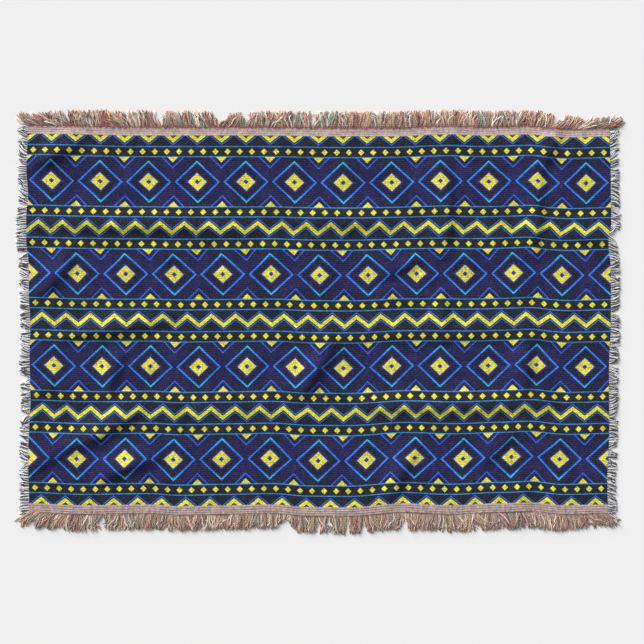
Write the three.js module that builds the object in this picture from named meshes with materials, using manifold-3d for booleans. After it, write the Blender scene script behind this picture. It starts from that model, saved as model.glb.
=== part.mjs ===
// A jacquard-woven cotton throw blanket, spread out face up on a flat surface.
// Millimetres, +Z up. +X runs along the long side and +Y towards the top heading.
// The origin is the centre of the whole throw, fringe included, on the surface that it lies on.
//
// The throw is one woven cloth. Its patterned panel is a sheet that lies flat apart from soft
// folds. A plain heading strip closes the panel at the top and at the bottom, and the long warp
// ends hang out of it as fringe. The short weft ends stand out of the two sides. The headings
// and the side selvedges carry the locks of fringe, so each of them is one solid with its locks.
import * as THREE from "three";
import { mergeVertices } from "three/addons/utils/BufferGeometryUtils.js";
import Module from "manifold-3d";

const wasm = await Module();
wasm.setup();

// The cloth, measured flat.
const PANEL_WIDTH = 1318;
const PANEL_HEIGHT = 838;
const THICKNESS = 2;
const TOP_HEADING = 19;
const BOTTOM_HEADING = 21;
const SELVEDGE = 5;
const SELVEDGE_SHORT = 4;
const SEAM_GAP = 0.3;

// The fringe. A lock stands for a tuft of yarns.
const WARP_LOCKS = 86;
const WEFT_LOCKS = 54;
const TOP_FRINGE = 38;
const BOTTOM_FRINGE = 41;
const SIDE_FRINGE = 20;
const LOCK_ROOT = 1.5;

// How much neighbouring locks differ in lean, in degrees, and in length, as a share of it.
const WARP_SCATTER = { lean: 2, length: 0.05 };
const WEFT_SCATTER = { lean: 4, length: 0.08 };
// These keep the unevenness of one measure apart from that of another.
const SALT = { lean: 1, length: 5, bend: 9, weft: 20 };

// The grid that the cloth is shaped on, closer where a fold runs along it.
const COLUMN_SPANS = [
  { from: -659, to: -380, cells: 12 },
  { from: -380, to: -60, cells: 8 },
  { from: -60, to: 60, cells: 7 },
  { from: 60, to: 262, cells: 7 },
  { from: 262, to: 310, cells: 4 },
  { from: 310, to: 446, cells: 4 },
  { from: 446, to: 518, cells: 5 },
  { from: 518, to: 659, cells: 6 },
];
const ROW_SPANS = [
  { from: -419, to: -240, cells: 7 },
  { from: -240, to: -176, cells: 5 },
  { from: -176, to: -56, cells: 5 },
  { from: -56, to: 16, cells: 5 },
  { from: 16, to: 180, cells: 6 },
  { from: 180, to: 240, cells: 5 },
  { from: 240, to: 419, cells: 7 },
];

const MATERIAL = {
  panel: { color: 0x2a2f6a, roughness: 0.92, metalness: 0 },
  warp: { color: 0xa07f70, roughness: 0.95, metalness: 0 },
  weft: { color: 0x8d8a8c, roughness: 0.95, metalness: 0 },
};

// How far each edge wanders from a straight line, at places along it. Both are millimetres.
const LEFT_EDGE = [
  { at: -419, shift: 1.5 },
  { at: -306, shift: -0.5 },
  { at: -238, shift: 2 },
  { at: -186, shift: 5 },
  { at: -91, shift: 2.5 },
  { at: -22, shift: 4 },
  { at: 68, shift: 1.5 },
  { at: 132, shift: 0 },
  { at: 170, shift: -5 },
  { at: 227, shift: -5 },
  { at: 284, shift: -1 },
  { at: 330, shift: -4 },
  { at: 419, shift: -2 },
];
const RIGHT_EDGE = [
  { at: -419, shift: -4.5 },
  { at: -358, shift: -6 },
  { at: -272, shift: -2 },
  { at: -125, shift: -2 },
  { at: 0, shift: 2 },
  { at: 118, shift: 2 },
  { at: 182, shift: -4 },
  { at: 223, shift: 3 },
  { at: 318, shift: 2 },
  { at: 419, shift: 0 },
];
const TOP_EDGE = [
  { at: -659, shift: 4 },
  { at: -534, shift: 2 },
  { at: -425, shift: -0.5 },
  { at: -134, shift: -0.5 },
  { at: 47, shift: -2.5 },
  { at: 156, shift: -2.5 },
  { at: 297, shift: 2 },
  { at: 374, shift: -0.5 },
  { at: 479, shift: 2 },
  { at: 529, shift: -3.5 },
  { at: 565, shift: -5 },
  { at: 659, shift: -2.5 },
];
const BOTTOM_EDGE = [
  { at: -659, shift: 3.5 },
  { at: -534, shift: -1 },
  { at: -388, shift: 1 },
  { at: -316, shift: -3 },
  { at: -207, shift: -1 },
  { at: -107, shift: 1 },
  { at: -20, shift: -5 },
  { at: 70, shift: -5.5 },
  { at: 193, shift: 3.5 },
  { at: 302, shift: -1 },
  { at: 411, shift: 3.5 },
  { at: 479, shift: 6 },
  { at: 560, shift: -1 },
  { at: 659, shift: 1 },
];

// The soft folds. Each is a ridge along a line that bows sideways in its middle, with the
// height that it rises to and its half width across. It fades out towards both of its ends.
const FOLDS = [
  { name: "upper long fold", x0: -690, y0: 220, x1: -110, y1: 204, bow: 2, rise: 10, half: 17 },
  { name: "upper long fold, right", x0: -70, y0: 224, x1: 200, y1: 214, bow: 4, rise: 8.5, half: 17 },
  { name: "upper slant", x0: 120, y0: 92, x1: 250, y1: 148, bow: 0, rise: 7, half: 15 },
  { name: "upper cross fold", x0: 284, y0: 372, x1: 290, y1: 132, bow: 4, rise: 9, half: 15 },
  { name: "upper cross fold, right", x0: 496, y0: 345, x1: 484, y1: 120, bow: 3, rise: 8.5, half: 15 },
  { name: "middle fold, left", x0: -610, y0: -40, x1: -310, y1: 8, bow: -4, rise: 10, half: 16 },
  { name: "middle fold, right", x0: -230, y0: -34, x1: 700, y1: -42, bow: 4, rise: 4.5, half: 18 },
  { name: "middle cross fold", x0: 276, y0: 70, x1: 280, y1: -60, bow: 0, rise: 6.5, half: 14 },
  { name: "centre cross fold", x0: 40, y0: -30, x1: -62, y1: -186, bow: 6, rise: 12, half: 17 },
  { name: "left cross fold", x0: -444, y0: -64, x1: -490, y1: -180, bow: 0, rise: 7.5, half: 14 },
  { name: "lower long fold", x0: 60, y0: -196, x1: 545, y1: -196, bow: -4, rise: 10.5, half: 16 },
  { name: "lower long fold, left", x0: -420, y0: -210, x1: 60, y1: -208, bow: 6, rise: 4.2, half: 18 },
  { name: "right cross fold", x0: 470, y0: -34, x1: 466, y1: -190, bow: 3, rise: 7.5, half: 15 },
  { name: "lower left slant", x0: -600, y0: -300, x1: -396, y1: -194, bow: -10, rise: 11, half: 16 },
  { name: "lower right slant", x0: 370, y0: -330, x1: 450, y1: -250, bow: 0, rise: 6, half: 14 },
  { name: "left hem slant, low", x0: -700, y0: -384, x1: -588, y1: -300, bow: 4, rise: 10, half: 15 },
  { name: "left hem slant, middle", x0: -706, y0: 8, x1: -556, y1: 142, bow: -8, rise: 9.5, half: 17 },
  { name: "left hem slant, high", x0: -700, y0: 326, x1: -536, y1: 408, bow: -6, rise: 13, half: 17 },
  { name: "left hem ripple", x0: -706, y0: -176, x1: -600, y1: -160, bow: 0, rise: 8.5, half: 14 },
  { name: "bottom left slant", x0: -510, y0: -366, x1: -350, y1: -306, bow: 3, rise: 12, half: 15 },
  { name: "right hem ripple", x0: 700, y0: 176, x1: 560, y1: 208, bow: 5, rise: 9.5, half: 16 },
  { name: "right hem ripple, low", x0: 700, y0: -226, x1: 590, y1: -190, bow: 3, rise: 7, half: 16 },
  { name: "top hem ripple", x0: 548, y0: 470, x1: 494, y1: 330, bow: 4, rise: 9, half: 16 },
  { name: "top hem ripple, left", x0: -520, y0: 470, x1: -556, y1: 372, bow: -4, rise: 5, half: 18 },
  { name: "bottom hem slant", x0: 150, y0: -440, x1: 236, y1: -270, bow: 4, rise: 8, half: 16 },
  { name: "bottom hem ripple", x0: 474, y0: -470, x1: 452, y1: -346, bow: -4, rise: 6, half: 17 },
];
// A ridge lower than this is pressed flat, so that the rest of the cloth lies on the surface.
const PRESSED_FLAT = 0.35;
// The height along a ridge is its sine raised to this power, which keeps it full to its ends.
const FOLD_FULLNESS = 0.6;
// The cloth was smoothed from this direction, the upper left, so a fold rises gently there and
// falls off more steeply on its far side. The widths on both are shares of the one in the table.
const SMOOTHED_FROM = { x: -0.6, y: 0.8 };
const NEAR_SIDE = 2.1;
const FAR_SIDE = 0.9;
// The folds sink to this share of their height at the outer edge, over this distance.
const EDGE_SHARE = 0.45;
const EDGE_FADE = 60;

// How the warp fringe lies, at places along the edge: its lean from straight out, in degrees
// towards +X, and its length as a share of the full one. A lean that jumps leaves a notch.
const TOP_LAY = [
  { at: -659, lean: -52, share: 0.95 },
  { at: -560, lean: -36, share: 1 },
  { at: -450, lean: -16, share: 1.05 },
  { at: -362, lean: -4, share: 1 },
  { at: -352, lean: 14, share: 0.72 },
  { at: -332, lean: -12, share: 0.98 },
  { at: -236, lean: -6, share: 0.96 },
  { at: -226, lean: 20, share: 0.72 },
  { at: -190, lean: 6, share: 0.9 },
  { at: -60, lean: 0, share: 1 },
  { at: 300, lean: 3, share: 1 },
  { at: 490, lean: 10, share: 0.98 },
  { at: 520, lean: 36, share: 0.9 },
  { at: 590, lean: 52, share: 0.92 },
  { at: 659, lean: 56, share: 1 },
];
const BOTTOM_LAY = [
  { at: -659, lean: -54, share: 0.95 },
  { at: -600, lean: -30, share: 1 },
  { at: -500, lean: -14, share: 1 },
  { at: -492, lean: 6, share: 0.92 },
  { at: -300, lean: -4, share: 0.96 },
  { at: -100, lean: -8, share: 0.95 },
  { at: -62, lean: -4, share: 0.75 },
  { at: -30, lean: 0, share: 1 },
  { at: 40, lean: 4, share: 1.06 },
  { at: 300, lean: 6, share: 0.98 },
  { at: 520, lean: 12, share: 0.96 },
  { at: 600, lean: 34, share: 0.9 },
  { at: 659, lean: 46, share: 0.95 },
];
const SIDE_LAY = [
  { at: -440, lean: -14, share: 1 },
  { at: -300, lean: 6, share: 0.95 },
  { at: -120, lean: -8, share: 1.05 },
  { at: 40, lean: 9, share: 1 },
  { at: 210, lean: -9, share: 1.05 },
  { at: 330, lean: 7, share: 0.95 },
  { at: 440, lean: 12, share: 1 },
];

// A lock's section at shares of its length: how wide it is, as a share of the way to the next
// lock, and in millimetres how thick it is, how far above the surface its flat side lies, and
// how far it has bent aside.
const LOCK_FORM = [
  { out: 0, fill: 0.6, thick: 1, floor: 0.4, bend: 0 },
  { out: 0.45, fill: 0.8, thick: 4.2, floor: 0, bend: 1 },
  { out: 1, fill: 0.5, thick: 2.2, floor: 0, bend: 0 },
];
const LOCK_SECTION = [
  { across: -0.5, up: 0 },
  { across: 0.5, up: 0 },
  { across: 0, up: 1 },
];

const smooth = (share) => share * share * (3 - 2 * share);
const mix = (from, to, share) => from + (to - from) * share;
const limit = (value, low, high) => Math.min(high, Math.max(low, value));

// The value in a table's column at a place between its rows, eased from one row to the next.
function readTable(table, column, place) {
  const next = table.findIndex((row) => row.at >= place);
  if (next === 0) return table[0][column];
  if (next < 0) return table[table.length - 1][column];
  const [low, high] = [table[next - 1], table[next]];
  return mix(low[column], high[column], smooth((place - low.at) / (high.at - low.at)));
}

// A fixed number from -1 to 1 that looks random, for the unevenness of hand-laid fringe.
function uneven(index, salt) {
  const wave = Math.sin(index * 12.9898 + salt * 78.233) * 43758.5453;
  return 2 * (wave - Math.floor(wave)) - 1;
}

// How high one fold lifts the cloth at a place.
function foldRise(fold, x, y) {
  const [along, across] = [fold.x1 - fold.x0, fold.y1 - fold.y0];
  const length = Math.hypot(along, across);
  const share = ((x - fold.x0) * along + (y - fold.y0) * across) / (length * length);
  if (share <= 0 || share >= 1) return 0;
  const side = ((y - fold.y0) * along - (x - fold.x0) * across) / length;
  const off = side - fold.bow * Math.sin(Math.PI * share);
  const facing = along * SMOOTHED_FROM.y - across * SMOOTHED_FROM.x;
  const half = fold.half * (off * facing < 0 ? FAR_SIDE : NEAR_SIDE);
  return fold.rise * Math.sin(Math.PI * share) ** FOLD_FULLNESS * Math.exp(-((off / half) ** 2));
}

// The height of the cloth's underside above the surface, at a place on the flat cloth.
function lift(x, y) {
  const inside = Math.min(
    PANEL_WIDTH / 2 - Math.abs(x),
    y > 0 ? PANEL_HEIGHT / 2 + TOP_HEADING - y : PANEL_HEIGHT / 2 + BOTTOM_HEADING + y,
  );
  const edge = mix(EDGE_SHARE, 1, smooth(limit(inside / EDGE_FADE, 0, 1)));
  const sum = FOLDS.reduce((total, fold) => total + foldRise(fold, x, y), 0) * edge;
  return Math.max(0, sum - PRESSED_FLAT);
}

// Where a place on the flat cloth comes to lie, with the wandering of the edges.
function lay(x, y) {
  const across = limit(x / PANEL_WIDTH + 0.5, 0, 1);
  const up = limit(y / PANEL_HEIGHT + 0.5, 0, 1);
  return [
    x + mix(readTable(LEFT_EDGE, "shift", y), readTable(RIGHT_EDGE, "shift", y), across),
    y + mix(readTable(BOTTOM_EDGE, "shift", x), readTable(TOP_EDGE, "shift", x), up),
  ];
}

// A closed mesh from corner points and faces of three or four corners.
function closedMesh(points, faces) {
  const index = faces.flatMap(([a, b, c, d]) => (d === undefined ? [a, b, c] : [a, b, c, a, c, d]));
  const geometry = new THREE.BufferGeometry();
  geometry.setAttribute("position", new THREE.Float32BufferAttribute(points.flat(), 3));
  geometry.setIndex(index);
  return geometry;
}

// The places of the grid's lines over the spans of a table, with both ends.
function gridStops(spans) {
  const inner = spans.flatMap(({ from, to, cells }) =>
    Array.from({ length: cells }, (_, cell) => mix(from, to, cell / cells)),
  );
  return [...inner, spans[spans.length - 1].to];
}

// A stretch of the cloth on a grid of places on the flat cut, with its thickness.
function sheet(xStops, yStops) {
  const [columns, rows] = [xStops.length - 1, yStops.length - 1];
  const points = [0, THICKNESS].flatMap((layer) =>
    yStops.flatMap((y) => xStops.map((x) => [...lay(x, y), lift(x, y) + layer])),
  );
  const upper = (rows + 1) * (columns + 1);
  const corner = (column, row) => row * (columns + 1) + column;
  const faces = [];
  for (let row = 0; row < rows; row++)
    for (let column = 0; column < columns; column++) {
      const ring = [
        corner(column, row),
        corner(column + 1, row),
        corner(column + 1, row + 1),
        corner(column, row + 1),
      ];
      faces.push([...ring].reverse(), ring.map((point) => point + upper));
    }
  const wall = (a, b) => faces.push([a, b, b + upper, a + upper]);
  for (let column = 0; column < columns; column++) {
    wall(corner(column, 0), corner(column + 1, 0));
    wall(corner(column + 1, rows), corner(column, rows));
  }
  for (let row = 0; row < rows; row++) {
    wall(corner(columns, row), corner(columns, row + 1));
    wall(corner(0, row + 1), corner(0, row));
  }
  return closedMesh(points, faces);
}

// One lock of fringe, three-sided and flat underneath. It leaves its root and comes down to
// rest on the surface. Its lean turns it from straight out, counted towards aside, and brings
// it closer to its neighbours than their pitch along the edge.
function lock({ root, outward, aside, lean, length, pitch, rise, bend }) {
  const turn = THREE.MathUtils.degToRad(lean);
  const run = outward.clone().multiplyScalar(Math.cos(turn)).addScaledVector(aside, Math.sin(turn));
  const side = new THREE.Vector2(run.y, -run.x);
  const apart = pitch * Math.cos(turn);
  const points = [];
  for (const section of LOCK_FORM) {
    const centre = root.clone().addScaledVector(run, mix(-LOCK_ROOT, length, section.out));
    centre.addScaledVector(side, section.bend * bend);
    const floor = section.floor + rise * (1 - section.out) ** 2;
    for (const corner of LOCK_SECTION) {
      const place = centre.clone().addScaledVector(side, corner.across * section.fill * apart);
      points.push([place.x, place.y, floor + corner.up * section.thick]);
    }
  }
  const sides = LOCK_SECTION.length;
  const last = points.length - sides;
  const faces = [[0, 1, 2], [last, last + 2, last + 1]];
  for (let ring = 0; ring < last; ring += sides)
    for (let edge = 0; edge < sides; edge++) {
      const [a, b] = [ring + edge, ring + ((edge + 1) % sides)];
      faces.push([a, a + sides, b + sides, b]);
    }
  return closedMesh(points, faces);
}

function toSolid(geometry) {
  const bare = mergeVertices(geometry);
  return new wasm.Manifold(
    new wasm.Mesh({
      numProp: 3,
      vertProperties: bare.attributes.position.array,
      triVerts: new Uint32Array(bare.index.array),
    }),
  );
}

function toGeometry(solid) {
  const mesh = solid.getMesh();
  const geometry = new THREE.BufferGeometry();
  geometry.setAttribute("position", new THREE.Float32BufferAttribute(mesh.vertProperties, 3));
  geometry.setIndex([...mesh.triVerts]);
  return geometry;
}

// A strip of the cloth's edge with its locks of fringe, as one solid.
function fringedStrip(strip, locks) {
  return toGeometry(locks.reduce((solid, each) => solid.add(toSolid(each)), toSolid(strip)));
}

// The locks along one long edge. side is 1 at the top and -1 at the bottom.
function warpLocks(side, edgeY, fullLength, layTable) {
  const locks = [];
  const pitch = PANEL_WIDTH / WARP_LOCKS;
  for (let index = 0; index < WARP_LOCKS; index++) {
    const x = -PANEL_WIDTH / 2 + (index + 0.5) * pitch;
    const longer = 1 + WARP_SCATTER.length * uneven(index, SALT.length + side);
    locks.push(
      lock({
        root: new THREE.Vector2(...lay(x, edgeY)),
        outward: new THREE.Vector2(0, side),
        aside: new THREE.Vector2(1, 0),
        lean: readTable(layTable, "lean", x) + WARP_SCATTER.lean * uneven(index, SALT.lean + side),
        length: fullLength * readTable(layTable, "share", x) * longer,
        pitch,
        rise: lift(x, edgeY),
        bend: uneven(index, SALT.bend + side),
      }),
    );
  }
  return locks;
}

// The locks along one short side. side is -1 at the left and 1 at the right.
function weftLocks(side) {
  const locks = [];
  const low = -PANEL_HEIGHT / 2 - BOTTOM_HEADING + SELVEDGE_SHORT;
  const high = PANEL_HEIGHT / 2 + TOP_HEADING - SELVEDGE_SHORT;
  const pitch = (high - low) / WEFT_LOCKS;
  const edgeX = side * (PANEL_WIDTH / 2 + SELVEDGE);
  for (let index = 0; index < WEFT_LOCKS; index++) {
    const y = low + (index + 0.5) * pitch;
    const salt = SALT.weft + side;
    const longer = 1 + WEFT_SCATTER.length * uneven(index, SALT.length + salt);
    locks.push(
      lock({
        root: new THREE.Vector2(...lay(edgeX, y)),
        outward: new THREE.Vector2(side, 0),
        aside: new THREE.Vector2(0, 1),
        lean: readTable(SIDE_LAY, "lean", y) * -side + WEFT_SCATTER.lean * uneven(index, SALT.lean + salt),
        length: SIDE_FRINGE * readTable(SIDE_LAY, "share", y) * longer,
        pitch,
        rise: lift(edgeX, y),
        bend: uneven(index, SALT.bend + salt),
      }),
    );
  }
  return locks;
}

const [right, top] = [PANEL_WIDTH / 2, PANEL_HEIGHT / 2];
const topRoot = top + TOP_HEADING;
const bottomRoot = -top - BOTTOM_HEADING;
const columnStops = gridStops(COLUMN_SPANS);
const rowStops = gridStops(ROW_SPANS);
const selvedgeStops = [bottomRoot + SELVEDGE_SHORT, ...rowStops, topRoot - SELVEDGE_SHORT];

const pieces = [
  ["panel", "panel", sheet(columnStops, rowStops)],
  [
    "top_heading_fringe",
    "warp",
    fringedStrip(
      sheet(columnStops, [top + SEAM_GAP, topRoot]),
      warpLocks(1, topRoot, TOP_FRINGE, TOP_LAY),
    ),
  ],
  [
    "bottom_heading_fringe",
    "warp",
    fringedStrip(
      sheet(columnStops, [bottomRoot, -top - SEAM_GAP]),
      warpLocks(-1, bottomRoot, BOTTOM_FRINGE, BOTTOM_LAY),
    ),
  ],
  [
    "left_selvedge_fringe",
    "weft",
    fringedStrip(
      sheet([-right - SELVEDGE, -right - SEAM_GAP], selvedgeStops),
      weftLocks(-1),
    ),
  ],
  [
    "right_selvedge_fringe",
    "weft",
    fringedStrip(
      sheet([right + SEAM_GAP, right + SELVEDGE], selvedgeStops),
      weftLocks(1),
    ),
  ],
];

const laidCloth = new THREE.Group();
for (const [name, finish, geometry] of pieces) {
  const mesh = new THREE.Mesh(geometry, new THREE.MeshStandardMaterial(MATERIAL[finish]));
  mesh.name = name;
  laidCloth.add(mesh);
}

// The frame's origin is the middle of the throw, fringe included.
const middle = new THREE.Box3().setFromObject(laidCloth).getCenter(new THREE.Vector3());
laidCloth.position.set(-middle.x, -middle.y, 0);

const throwBlanket = new THREE.Group();
throwBlanket.add(laidCloth);

export default throwBlanket;
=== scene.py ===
"""A fringed cotton throw blanket, woven in bands and laid out on a pale floor.

The cloth follows the edges and the soft folds of the frame's solids. Its patterned panel and
its two heading strips are sheets, and the fringe on its four sides is made of single yarns.
Places on the flat cloth are counted in metres from the middle of the panel.
"""

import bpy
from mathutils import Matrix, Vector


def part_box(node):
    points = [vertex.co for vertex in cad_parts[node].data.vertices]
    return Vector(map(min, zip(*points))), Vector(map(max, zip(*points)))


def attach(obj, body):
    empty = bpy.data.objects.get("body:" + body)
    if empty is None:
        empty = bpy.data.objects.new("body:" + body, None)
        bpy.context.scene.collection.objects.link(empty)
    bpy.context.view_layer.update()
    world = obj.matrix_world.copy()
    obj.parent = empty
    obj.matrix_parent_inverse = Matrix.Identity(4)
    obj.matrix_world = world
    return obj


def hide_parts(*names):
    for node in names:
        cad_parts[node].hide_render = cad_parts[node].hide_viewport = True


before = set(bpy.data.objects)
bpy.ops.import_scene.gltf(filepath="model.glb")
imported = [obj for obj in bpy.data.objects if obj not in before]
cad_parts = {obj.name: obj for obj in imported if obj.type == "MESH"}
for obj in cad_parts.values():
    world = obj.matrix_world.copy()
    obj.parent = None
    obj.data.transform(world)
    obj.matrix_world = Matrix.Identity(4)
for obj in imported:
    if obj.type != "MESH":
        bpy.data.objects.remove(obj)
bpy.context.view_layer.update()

import math
from collections import namedtuple

import bpy
import numpy as np
from bpy.props import FloatProperty, FloatVectorProperty, IntProperty, PointerProperty

bl_info = {
    "name": "Fringed throw blanket",
    "version": (1, 0, 0),
    "blender": (4, 5, 0),
    "location": "3D View > Sidebar > Throw",
    "description": "A banded cotton throw with headings and fringe on four sides",
    "category": "Add Mesh",
}

MM = 0.001

# The cloth, measured flat.
PANEL_WIDTH = 1318 * MM
PANEL_HEIGHT = 838 * MM
TOP_HEADING = 19 * MM
BOTTOM_HEADING = 21 * MM
SELVEDGE = 5 * MM
TOP_FRINGE = 38 * MM
BOTTOM_FRINGE = 41 * MM
SIDE_FRINGE = 20 * MM

# Cells of the panel's sheet, and of a heading's across its width.
PANEL_COLUMNS = 264
PANEL_ROWS = 168
HEADING_ROWS = 5
# Faces that meet at less than this are shaded as one.
CREASE = math.radians(50)
# At how many places along an edge its reach is measured.
EDGE_PLACES = 2001

Stop = namedtuple("Stop", "at shift")
Fold = namedtuple("Fold", "name x0 y0 x1 y1 bow rise half")
Lie = namedtuple("Lie", "at lean share")
Notch = namedtuple("Notch", "at half share push")
Ripple = namedtuple("Ripple", "along across height turn")


def edge_stops(*rows):
    """How far an edge wanders from a straight line, at places along it, from millimetres."""
    return [Stop(at * MM, shift * MM) for at, shift in rows]


def edge_lies(*rows):
    """How fringe lies at places along an edge, from millimetres, degrees and shares."""
    return [Lie(at * MM, math.radians(lean), share) for at, lean, share in rows]


def edge_notches(*rows):
    """Notches in the fringe along an edge, from millimetres, shares and degrees."""
    return [
        Notch(at * MM, half * MM, share, math.radians(push)) for at, half, share, push in rows
    ]


LEFT_EDGE = edge_stops(
    (-419, 1.5), (-306, -0.5), (-238, 2), (-186, 5), (-91, 2.5), (-22, 4), (68, 1.5),
    (132, 0), (170, -5), (227, -5), (284, -1), (330, -4), (419, -2),
)
RIGHT_EDGE = edge_stops(
    (-419, -4.5), (-358, -6), (-272, -2), (-125, -2), (0, 2), (118, 2), (182, -4),
    (223, 3), (318, 2), (419, 0),
)
TOP_EDGE = edge_stops(
    (-659, 4), (-534, 2), (-425, -0.5), (-134, -0.5), (47, -2.5), (156, -2.5), (297, 2),
    (374, -0.5), (479, 2), (529, -3.5), (565, -5), (659, -2.5),
)
BOTTOM_EDGE = edge_stops(
    (-659, 3.5), (-534, -1), (-388, 1), (-316, -3), (-207, -1), (-107, 1), (-20, -5),
    (70, -5.5), (193, 3.5), (302, -1), (411, 3.5), (479, 6), (560, -1), (659, 1),
)

# The soft folds, in millimetres: a ridge from one place to another that bows sideways in its
# middle, with its height and its half width across.
FOLDS = [
    Fold(name, *(size * MM for size in sizes))
    for name, *sizes in (
        ("upper long fold", -690, 220, -110, 204, 2, 10, 17),
        ("upper long fold, right", -70, 224, 200, 214, 4, 8.5, 17),
        ("upper slant", 120, 92, 250, 148, 0, 7, 15),
        ("upper cross fold", 284, 372, 290, 132, 4, 9, 15),
        ("upper cross fold, right", 496, 345, 484, 120, 3, 8.5, 15),
        ("middle fold, left", -610, -40, -310, 8, -4, 10, 16),
        ("middle fold, right", -230, -34, 700, -42, 4, 4.5, 18),
        ("middle cross fold", 276, 70, 280, -60, 0, 6.5, 14),
        ("centre cross fold", 40, -30, -62, -186, 6, 12, 17),
        ("left cross fold", -444, -64, -490, -180, 0, 7.5, 14),
        ("lower long fold", 60, -196, 545, -196, -4, 10.5, 16),
        ("lower long fold, left", -420, -210, 60, -208, 6, 4.2, 18),
        ("right cross fold", 470, -34, 466, -190, 3, 7.5, 15),
        ("lower left slant", -600, -300, -396, -194, -10, 11, 16),
        ("lower right slant", 370, -330, 450, -250, 0, 6, 14),
        ("left hem slant, low", -700, -384, -588, -300, 4, 10, 15),
        ("left hem slant, middle", -706, 8, -556, 142, -8, 9.5, 17),
        ("left hem slant, high", -700, 326, -536, 408, -6, 13, 17),
        ("left hem ripple", -706, -176, -600, -160, 0, 8.5, 14),
        ("bottom left slant", -510, -366, -350, -306, 3, 12, 15),
        ("right hem ripple", 700, 176, 560, 208, 5, 9.5, 16),
        ("right hem ripple, low", 700, -226, 590, -190, 3, 7, 16),
        ("top hem ripple", 548, 470, 494, 330, 4, 9, 16),
        ("top hem ripple, left", -520, 470, -556, 372, -4, 5, 18),
        ("bottom hem slant", 150, -440, 236, -270, 4, 8, 16),
        ("bottom hem ripple", 474, -470, 452, -346, -4, 6, 17),
    )
]
PRESSED_FLAT = 0.35 * MM
FOLD_FULLNESS = 0.6
# The cloth was smoothed from the upper left, so a fold rises gently there and falls off more
# steeply on its far side. These are its widths on both, as shares of the one in the table.
SMOOTHED_FROM = (-0.6, 0.8)
NEAR_SIDE = 2.1
FAR_SIDE = 0.9
EDGE_SHARE = 0.45
EDGE_FADE = 60 * MM

# The faint unevenness between the folds: waves per metre along and across, and their height.
RIPPLES = (
    Ripple(6.1, 3.3, 0.5 * MM, 0.4),
    Ripple(-4.2, 9.7, 0.5 * MM, 2.1),
    Ripple(13.3, -5.9, 0.34 * MM, 4.0),
    Ripple(9.1, 15.8, 0.3 * MM, 1.3),
    Ripple(-21.7, 7.4, 0.2 * MM, 5.2),
    Ripple(5.3, -26.9, 0.2 * MM, 3.1),
    Ripple(31.2, 18.5, 0.09 * MM, 0.9),
    Ripple(-14.6, 38.4, 0.09 * MM, 4.6),
)

TOP_LAY = edge_lies(
    (-659, -52, 0.95), (-560, -36, 1), (-450, -16, 1.05), (-375, -20, 1.02), (-350, -6, 1),
    (-240, -8, 0.98), (-222, 20, 0.86), (-160, 16, 0.93), (-120, 4, 0.97), (-60, 0, 1),
    (300, 3, 1), (490, 10, 0.98), (520, 36, 0.9), (590, 52, 0.92), (659, 56, 1),
)
BOTTOM_LAY = edge_lies(
    (-659, -54, 0.95), (-600, -30, 1), (-510, -14, 0.97), (-470, -2, 0.93), (-300, -4, 0.9),
    (-104, -8, 0.88), (-20, 0, 0.96), (40, 4, 1.02), (220, 5, 1), (380, 8, 1.02),
    (520, 12, 1), (600, 34, 0.86), (659, 46, 0.95),
)
SIDE_LAY = edge_lies(
    (-440, -14, 1), (-300, 6, 0.95), (-120, -8, 1.05), (40, 9, 1), (210, -9, 1.05),
    (330, 7, 0.95), (440, 12, 1),
)

# Notches in the long fringe, in millimetres and degrees: each one's place and half width, the
# share of their length that yarns in its middle keep, and how far those beside it are parted.
TOP_NOTCHES = edge_notches((-356, 9, 0.5, 16), (-228, 9, 0.5, 18), (-171, 7, 0.62, 14))
BOTTOM_NOTCHES = edge_notches(
    (-489, 8, 0.3, 18), (-73, 28, 0.34, 0), (23, 9, 0.34, 14), (65, 4, 0.65, 8),
    (102, 6, 0.65, 10),
)
# How far past a notch the yarns are parted, and how much less they stray there.
NOTCH_REACH = 14 * MM
NOTCH_CALM = 0.8

# The picture: its width on the cloth, and where the middle of the panel lies from its own.
PICTURE_WIDTH = 1.462
PANEL_IN_PICTURE = (-6.6 * MM, 4.2 * MM)
CAMERA_HEIGHT = 3.4
SENSOR_WIDTH = 36.0
FLOOR_SIZE = 40


def tint(red, green, blue):
    """A screen colour, from 0 to 255, as the linear numbers that a shader takes."""
    return tuple(
        part / 12.92 if part <= 0.04045 else ((part + 0.055) / 1.055) ** 2.4
        for part in (red / 255, green / 255, blue / 255)
    )


def colour_of(red, green, blue, name, description):
    """A colour property with a screen colour as its default."""
    return FloatVectorProperty(
        name=name,
        description=description,
        default=tint(red, green, blue),
        subtype="COLOR",
        size=3,
        min=0,
        max=1,
    )


def length_of(millimetres, name, description):
    """A length property with millimetres as its default."""
    return FloatProperty(
        name=name,
        description=description,
        default=millimetres * MM,
        min=0,
        precision=5,
        unit="LENGTH",
        subtype="DISTANCE",
    )


class ThrowSizes(bpy.types.PropertyGroup):
    """Sizes of the cloth and its yarns"""

    thickness: length_of(2.0, "Cloth thickness", "How thick the woven cloth is")
    rib: length_of(4.6, "Rib pitch", "From one crosswise rib of the weave to the next")
    pick: length_of(2.3, "Thread pitch", "From one thread of the weave to the next")
    warp_yarn: length_of(2.6, "Warp yarn", "Thickness of a yarn of the long fringe")
    weft_yarn: length_of(2.25, "Weft yarn", "Thickness of a yarn of the side fringe")
    warp_count: IntProperty(
        name="Warp yarns",
        description="Yarns in the fringe of one long edge",
        default=1640,
        min=1,
    )
    weft_count: IntProperty(
        name="Weft yarns",
        description="Yarns in the fringe of one short side",
        default=620,
        min=1,
    )


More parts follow.
